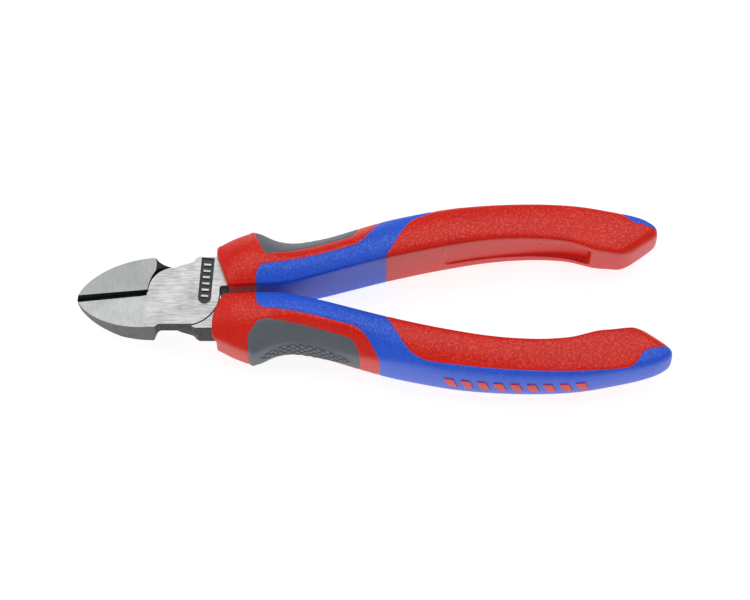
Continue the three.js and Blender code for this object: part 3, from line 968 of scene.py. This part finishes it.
def lap_outline():
    """The joint's own side of the lap, with the root of the tang above it."""
    points = [(LAP_START_X, -JAW_GAP), (-9.7, -JAW_GAP)]
    points += bezier(points[-1], (-9.65, 3.7), (-6.95, 6.75), (-2.55, 7.06), 26)
    points += bezier(points[-1], (-1.9, 7.1), (-1.6, 7.45), (-0.9, 7.68), 5)
    points += [(1.6, 8.42)]
    points += bezier(points[-1], (2.7, 8.75), (2.6, 9.3), (3.3, 9.8), 6)
    points += bezier(points[-1], (3.6, 10.02), (3.8, TANG_TOP), (4.3, TANG_TOP), 4)
    points += [(BLOCK_END, TANG_TOP), (BLOCK_END, TANG_BOTTOM), (10.3, TANG_BOTTOM)]
    points += bezier(points[-1], (9.7, TANG_BOTTOM), (9.38, 1.6), (9.38, 0.6), 6)
    points += arc(DISC_RADIUS, 0.03, -math.asin(LAP_EDGE / DISC_RADIUS), 44)
    points += [(-6.16, -LAP_EDGE)]
    points += bezier(points[-1], (-7.0, -LAP_EDGE), (-7.4, -9.4), (-7.75, -9.85), 6)
    corner = (LAP_START_X, -float(jaw_edge(LAP_START_X)) + 0.02)
    return points + [(JAW_ROOT_X, -JAW_HALF_WIDTH + 0.02), corner]


def socket_outline():
    """The root of the tang on the far side of the lap, hollowed round the other half's disc."""
    points = [(BLOCK_END, TANG_BOTTOM), (BLOCK_END, TANG_TOP), (2.9, TANG_TOP), (2.5, 9.95)]
    return points + arc(SOCKET_RADIUS, 1.37, math.asin(TANG_BOTTOM / SOCKET_RADIUS), 40)


def bar_outline(grow=0.0):
    xs = np.linspace(PIVOT_X + BLOCK_END - 2, BAR_END_X + grow, 40)
    low = [(x - PIVOT_X, y - grow) for x, y in zip(xs, bar_bottom(xs))]
    high = [(x - PIVOT_X, y + grow) for x, y in zip(xs, bar_top(xs))]
    return low + high[::-1]


def tang_solid(grow):
    """The steel that a grip is moulded round, grown a little, in the tool's x."""
    root = [
        (0, TANG_BOTTOM - grow), (BLOCK_END + grow, TANG_BOTTOM - grow),
        (BLOCK_END + grow, TANG_TOP + grow), (0, TANG_TOP + grow),
    ]
    tang = prism(root, -HEAD_HALF - grow, HEAD_HALF + grow, "tang")
    tang = combine(tang, prism(bar_outline(grow), -BAR_HALF - grow, BAR_HALF + grow, "bar"), "UNION")
    move_to_pivot(tang)
    return tang


def shoulder_wedge(turned):
    """The cutter's run-out between the jaw's shoulder and the lap's far side."""
    if turned:
        run_out = [(-7.9, -5.05), (-7.7, -5.1)]
        run_out += bezier(run_out[-1], (-6.6, -3.9), (-5.6, -0.6), (-3.3, 0), 14)
    else:
        run_out = [(-8.3, -5.1), (-8.2, -4.6)]
        run_out += bezier(run_out[-1], (-7.8, -2.2), (-7.4, -0.4), (-6.2, 0), 12)
    run_out += [(run_out[-1][0], 0.02), (run_out[0][0], 0.02)]
    wedge = side_prism(run_out, -JAW_HALF_WIDTH, -6, "wedge")
    rim = -JAW_HALF_WIDTH + 0.02
    edge = [(-9.5, -5), (-9.5, rim), (JAW_ROOT_X, rim), (-7.75, -9.85)]
    edge += bezier(edge[-1], (-7.4, -9.4), (-7.0, -LAP_EDGE), (-6.16, -LAP_EDGE), 6)
    edge += [(-4, -LAP_EDGE), (-4, -5)]
    wedge = combine(wedge, prism(edge, -HEAD_HALF, HEAD_HALF, "edge"), "INTERSECT")
    disc = prism(arc(LAP_RADIUS + JAW_GAP, 0, 2 * math.pi, 120)[:-1], -8, 8, "disc")
    return combine(wedge, disc, "DIFFERENCE")


def rivet_tool(grow):
    """The rivet with its two tapered heads, or the hole for it when grown."""
    radius = RIVET_RADIUS + grow
    head = RIVET_HEAD + grow
    neck_z = HEAD_HALF - RIVET_NECK
    profile = [(head, HEAD_HALF), (radius, neck_z), (radius, -neck_z), (head, -HEAD_HALF)]
    if grow > 0:
        profile = [(head, HEAD_HALF + 1)] + profile + [(head, -HEAD_HALF - 1)]
    turns = np.linspace(0, 2 * math.pi, RIVET_STEPS, endpoint=False)
    rings = np.array([[(r * math.cos(a), r * math.sin(a), z) for a in turns] for r, z in profile[::-1]])
    rivet = ring_mesh(rings, "rivet")
    face_outwards(rivet)
    return rivet


MARK_HALF = 1.75
MARK_DEPTH = 0.6
MARK_RIM = 0.3
MARK_LEAN = math.radians(-4.4)
MARK_X = 5.42
MARK_Y = -1.6
MARK_BARS = 6
MARK_BAR_PITCH = 1.8
MARK_FIRST_BAR = 0.5
MARK_BAR_REACH = 0.95
MARK_BAR_HALF = 0.27


def lean(points, x, y):
    """Turn (x, y) points by the mark's lean and move them to x, y."""
    c, s = math.cos(MARK_LEAN), math.sin(MARK_LEAN)
    return [(x + c * px - s * py, y + s * px + c * py) for px, py in points]


def mark_recess():
    """A round-ended recess across the joint, with plain bars left standing in it."""
    top = TANG_TOP - MARK_RIM - MARK_Y
    outline = [(MARK_HALF, top), (-MARK_HALF, top), (-MARK_HALF, 0)]
    outline += arc(MARK_HALF, math.pi, 2 * math.pi, 20)[1:]
    recess = prism(lean(outline, MARK_X, MARK_Y), HEAD_HALF - MARK_DEPTH, HEAD_HALF + 1, "recess")
    for i in range(MARK_BARS):
        y = MARK_FIRST_BAR + MARK_BAR_PITCH * i
        bar = [
            (-MARK_BAR_REACH, y - MARK_BAR_HALF), (MARK_BAR_REACH, y - MARK_BAR_HALF),
            (MARK_BAR_REACH, y + MARK_BAR_HALF), (-MARK_BAR_REACH, y + MARK_BAR_HALF),
        ]
        recess = combine(recess, prism(lean(bar, MARK_X, MARK_Y), 0, HEAD_HALF + 2, "bar"), "DIFFERENCE")
    return recess


def mirror(obj, axis):
    points = positions(obj)
    points[:, axis] *= -1
    set_positions(obj, points)
    obj.data.flip_normals()
    return obj


def soften_edges(obj, width):
    """Small bevels on the hard edges, leaving the two cutting edges keen."""
    bm = bmesh.new()
    bm.from_mesh(obj.data)
    bmesh.ops.dissolve_limit(bm, angle_limit=FLAT_ANGLE, verts=bm.verts, edges=bm.edges)
    layer = bm.edges.layers.float.new("bevel_weight_edge")
    for edge in bm.edges:
        middle = (edge.verts[0].co + edge.verts[1].co) / 2
        keen = middle.x < JAW_ROOT_X - 1.5 and abs(middle.y) < 0.2
        keen = keen or math.hypot(middle.x, middle.y) < RIVET_HEAD + 0.1
        if edge.calc_face_angle(0) > EDGE_BREAK_ANGLE and not keen:
            edge[layer] = 1
    bm.to_mesh(obj.data)
    bm.free()
    modifier = obj.modifiers.new("bevel", "BEVEL")
    modifier.limit_method = "WEIGHT"
    modifier.width = width
    modifier.segments = 2
    modifier.use_clamp_overlap = True
    bake_modifiers(obj)


def paint_steel(obj, materials, marked):
    """Give each face the finish of the surface that it lies on, with painted shade on some faces (see
    finish_of).
    """
    order = ["ground", "facet", "smooth_shaded_facet", "side", "dark_side", "edge", "mark"]
    obj.data.materials.clear()
    for name in order:
        obj.data.materials.append(materials[name])
    for face in obj.data.polygons:
        face.material_index = order.index(finish_of(face, marked))


def finish_of(face, marked):
    up = abs(face.normal.z)
    x, y, z = face.center
    if marked and HEAD_HALF - MARK_DEPTH - 0.1 < z < HEAD_HALF - 0.1 and 2.4 < x < 9 and y > -4:
        return "mark"
    if x < -8.5 and abs(y) < 1.3 and 0.25 < up < 0.9 and abs(face.normal.x) < 0.6:
        return "edge"
    if up > 0.99:
        # Level faces at the joint plane, between the two halves, take the near-black bevel finish as painted
        # shade.
        return "edge" if abs(z) < 0.5 else "ground"
    if up > 0.9:
        # The other facets take the smooth facet, whose darker base is painted shade.
        return "facet" if marked and z > 0 else "smooth_shaded_facet"
    if x < -4 and face.normal.x > 0.25:
        return "edge"
    return "side" if x < JAW_ROOT_X + 0.2 and abs(y) > 1 else "dark_side"


def shoulder_notch():
    """What the lower jaw leaves free for the other half's shoulder."""
    return side_prism([(-8.5, -6), (-8.4, -HEAD_HALF), (-7.5, 0), (-6, -6)], -14, -6)


def steel_half(name, node, turned, materials):
    """Jaw, lap and tang of one half. The two jaws mirror each other, the rest is turned over."""
    body = "rear_lever" if turned else "front_lever"
    if turned:
        jaw = mirror(jaw_solid(UPPER_FACET_X, 0), 2)
    else:
        jaw = combine(jaw_solid(LOWER_FACET_X, FACET_TURN), shoulder_notch(), "DIFFERENCE")
    half = combine(jaw, prism(lap_outline(), LAP_GAP, HEAD_HALF, "lap"), "UNION")
    half = combine(half, prism(socket_outline(), -HEAD_HALF, 0.2, "socket"), "UNION")
    half = combine(half, shoulder_wedge(turned), "UNION")
    half = combine(half, prism(bar_outline(), -BAR_HALF, BAR_HALF, "bar"), "UNION")
    half = combine(half, rivet_tool(RIVET_CLEARANCE), "DIFFERENCE")
    if not turned:
        half = combine(half, mark_recess(), "DIFFERENCE")
    soften_edges(half, EDGE_BREAK)
    paint_steel(half, materials, not turned)
    move_to_pivot(half)
    to_frame(half, turned)
    finish_piece(half, name, None, node, body)
    shade(half, STEEL_SHARP_ANGLE)


def rivet(materials):
    pin = rivet_tool(0)
    move_to_pivot(pin)
    to_frame(pin, False)
    finish_piece(pin, "joint_rivet", materials["ground"], "pivot_rivet", "front_lever")
    shade(pin, STEEL_SHARP_ANGLE)


# ---------------------------------------------------------------- scene

make_camera()
make_studio()
looks = make_materials()
steel_half("lower_jaw_half", "front_half", False, looks)
steel_half("upper_jaw_half", "rear_half", True, looks)
rivet(looks)
grip("upper", UPPER_TAIL_X, looks)
grip("lower", LOWER_TAIL_X, looks)
